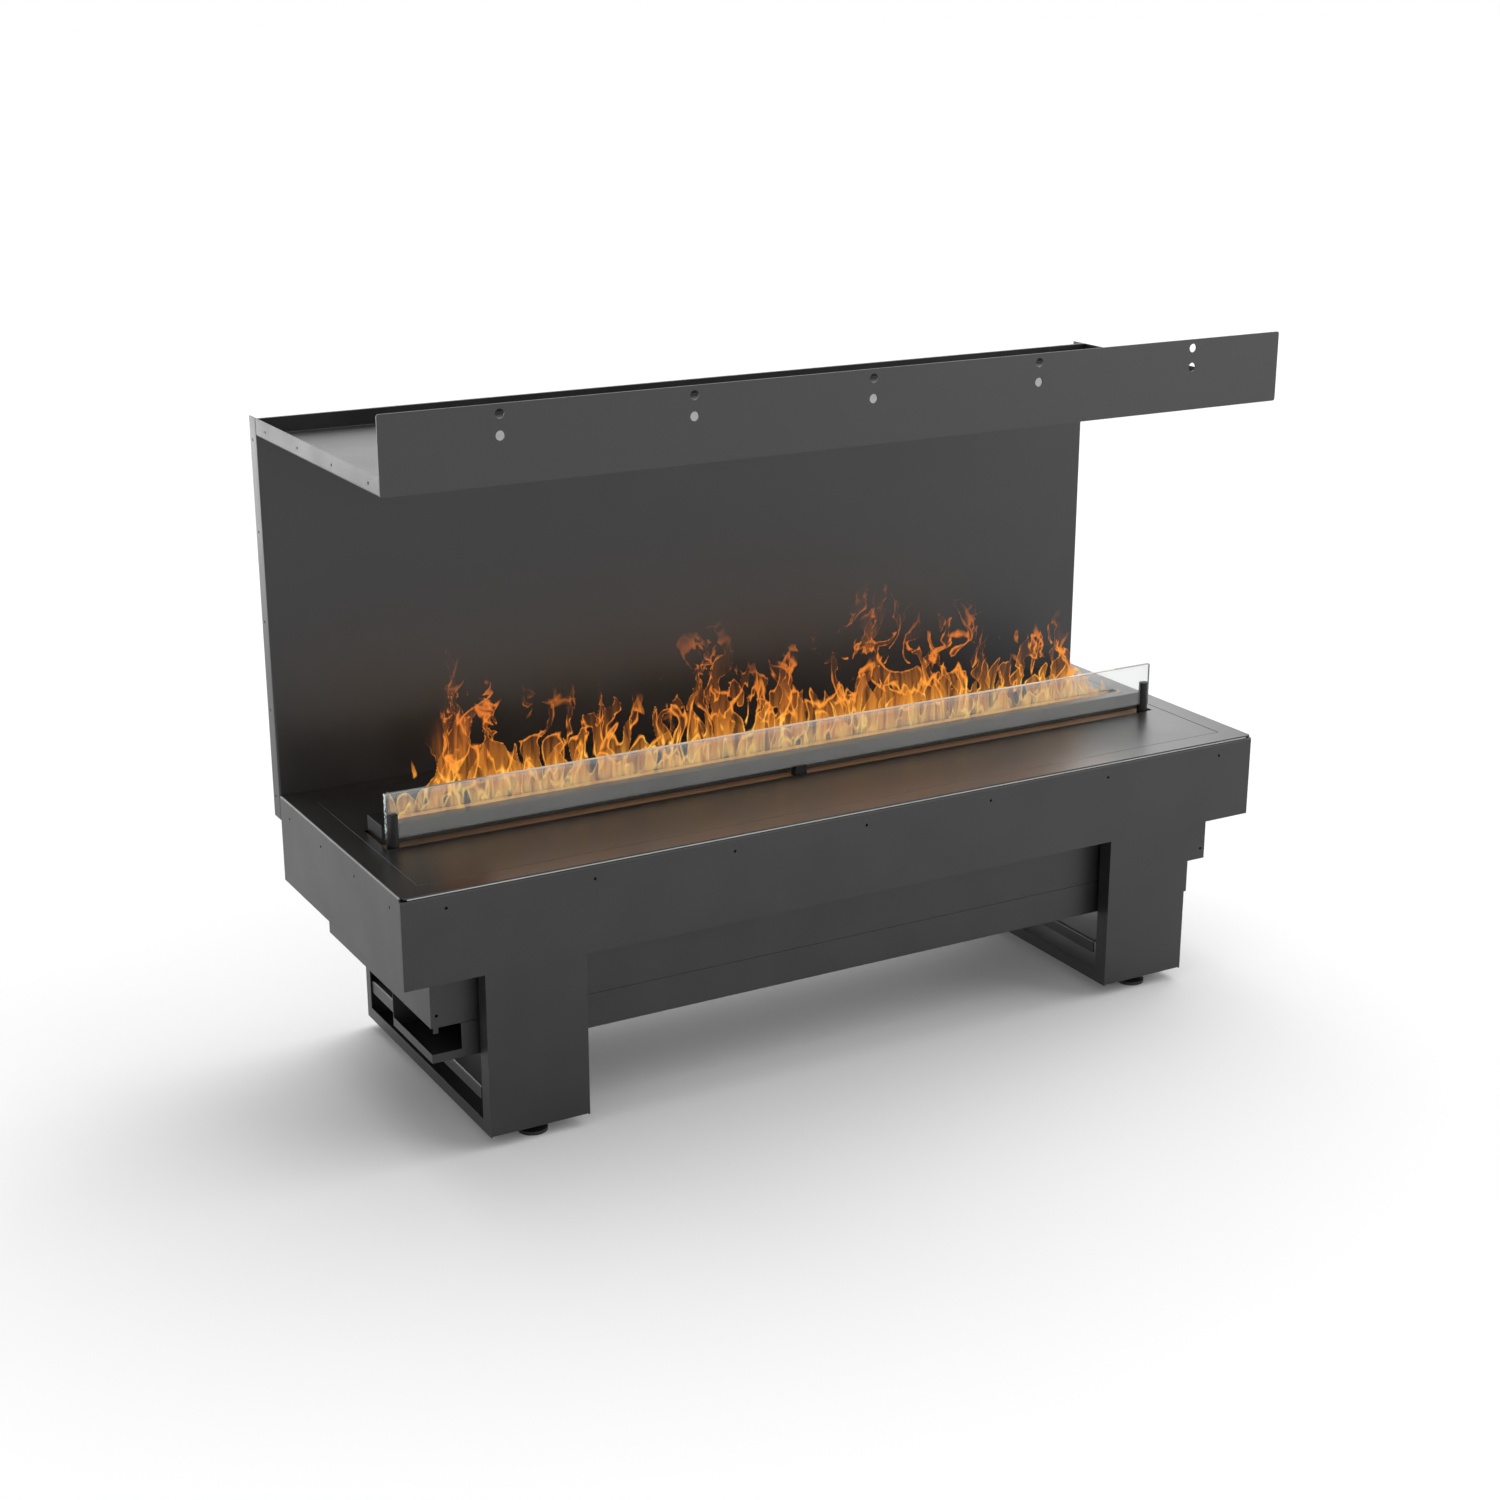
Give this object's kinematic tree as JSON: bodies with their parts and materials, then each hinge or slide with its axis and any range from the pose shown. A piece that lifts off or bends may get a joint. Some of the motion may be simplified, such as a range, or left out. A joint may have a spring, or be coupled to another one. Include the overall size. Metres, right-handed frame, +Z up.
{
  "type": "three-sided fireplace",
  "caption": "Built-in fireplace casing open at the front and both ends, with a flush burner deck, low glass strip, folded fascia above, and a raised base on flanged legs with levelling feet.",
  "frame": {"origin": "on the floor, under the middle of the casing's width and depth", "axes": "+Z up; the open front faces -Y; +X to the right of someone who looks at the fire"},
  "size_m": [1.34, 0.4684, 0.9595],
  "materials": {
    "black_powder_coat": "satin black powder coat",
    "black_enamel": "black enamel",
    "galvanised_steel": "dull zinc-coated sheet",
    "zinc_steel": "zinc-plated steel",
    "black_rubber": "matt black rubber",
    "black_plastic": "matt black plastic",
    "white_plastic": "off-white plastic",
    "clear_glass": "clear toughened glass",
    "board_green": "green circuit board",
    "brass": "plain brass",
    "light_strip": "frosted light diffuser"
  },
  "bodies": {
    "casing": {"casing_base": "black_powder_coat", "front_skirt": "black_powder_coat", "skirt_seal": "black_rubber", "back_panel": "black_powder_coat", "hood_tray": "black_powder_coat", "front_fascia": "black_powder_coat", "leg_left": "black_powder_coat", "leg_right": "black_powder_coat", "leg_brace_left": "black_powder_coat", "leg_brace_right": "black_powder_coat", "ledge_left": "zinc_steel", "ledge_right": "zinc_steel", "foot_nut_left_front": "zinc_steel", "foot_nut_left_rear": "zinc_steel", "foot_nut_right_front": "zinc_steel", "foot_nut_right_rear": "zinc_steel"},
    "foot_left_front": {"foot_left_front": "black_plastic"},
    "foot_left_rear": {"foot_left_rear": "black_plastic"},
    "foot_right_front": {"foot_right_front": "black_plastic"},
    "foot_right_rear": {"foot_right_rear": "black_plastic"},
    "insert": {"insert_housing": "black_powder_coat", "lower_housing": "black_powder_coat", "burner_trim": "black_enamel", "burner_box": "black_enamel", "light_bar_front": "light_strip", "light_bar_rear": "light_strip", "glass_post_left": "black_enamel", "glass_post_right": "black_enamel", "post_screw_left": "zinc_steel", "post_screw_right": "zinc_steel", "glass_clip": "black_rubber", "mist_hood": "white_plastic", "mist_tank": "white_plastic", "transducer_1": "brass", "transducer_2": "brass", "transducer_3": "brass", "fan_frame_1": "black_plastic", "fan_frame_2": "black_plastic", "fan_frame_3": "black_plastic", "float_stem": "white_plastic", "water_tank": "white_plastic", "pump": "black_plastic", "pump_hose": "black_rubber", "control_box": "galvanised_steel", "control_lid": "galvanised_steel", "circuit_board": "board_green", "power_supply": "galvanised_steel", "power_inlet": "black_plastic", "power_lead": "black_rubber", "drain_valve": "brass"},
    "insert_cover": {"insert_cover": "black_powder_coat"},
    "glass_screen": {"glass_screen": "clear_glass"},
    "fan_rotor_1": {"fan_rotor_1": "black_plastic"},
    "fan_rotor_2": {"fan_rotor_2": "black_plastic"},
    "fan_rotor_3": {"fan_rotor_3": "black_plastic"},
    "filler_cap": {"filler_cap": "black_plastic"},
    "level_float": {"level_float": "black_plastic"},
    "rocker_switch": {"rocker_switch": "black_plastic"},
    "drain_lever": {"drain_lever": "zinc_steel"}
  },
  "joints": [
    {"name": "foot_left_front_height", "type": "slide", "parent": "casing", "child": "foot_left_front", "axis": [0, 0, -1], "range_m": [-0.006, 0.02]},
    {"name": "foot_left_rear_height", "type": "slide", "parent": "casing", "child": "foot_left_rear", "axis": [0, 0, -1], "range_m": [-0.006, 0.02]},
    {"name": "foot_right_front_height", "type": "slide", "parent": "casing", "child": "foot_right_front", "axis": [0, 0, -1], "range_m": [-0.006, 0.02]},
    {"name": "foot_right_rear_height", "type": "slide", "parent": "casing", "child": "foot_right_rear", "axis": [0, 0, -1], "range_m": [-0.006, 0.02]},
    {"name": "insert_lift", "type": "slide", "parent": "casing", "child": "insert", "axis": [0, 0, 1], "range_m": [0, 0.2]},
    {"name": "cover_lift", "type": "slide", "parent": "insert", "child": "insert_cover", "axis": [0, 0, 1], "range_m": [0, 0.1]},
    {"name": "glass_lift", "type": "slide", "parent": "insert", "child": "glass_screen", "axis": [0, 0, 1], "range_m": [0, 0.06]},
    {"name": "fan_spin_1", "type": "hinge", "parent": "insert", "child": "fan_rotor_1", "pos_m": [-0.41, -0.07055, 0.241], "axis": [0, 1, 0], "continuous": true},
    {"name": "fan_spin_2", "type": "hinge", "parent": "insert", "child": "fan_rotor_2", "pos_m": [0, -0.07055, 0.241], "axis": [0, 1, 0], "continuous": true},
    {"name": "fan_spin_3", "type": "hinge", "parent": "insert", "child": "fan_rotor_3", "pos_m": [0.41, -0.07055, 0.241], "axis": [0, 1, 0], "continuous": true},
    {"name": "filler_cap_turn", "type": "hinge", "parent": "insert", "child": "filler_cap", "pos_m": [-0.51, -0.13925, 0.3053], "axis": [0, 0, 1], "range_deg": [0, 90]},
    {"name": "float_rise", "type": "slide", "parent": "insert", "child": "level_float", "axis": [0, 0, 1], "range_m": [0, 0.03]},
    {"name": "rocker_tip", "type": "hinge", "parent": "insert", "child": "rocker_switch", "pos_m": [0.315, 0.16905, 0.195], "axis": [1, 0, 0], "range_deg": [0, 16]},
    {"name": "drain_lever_turn", "type": "hinge", "parent": "insert", "child": "drain_lever", "pos_m": [-0.566, -0.13425, 0.1603], "axis": [0, 0, 1], "range_deg": [0, 90]}
  ]
}
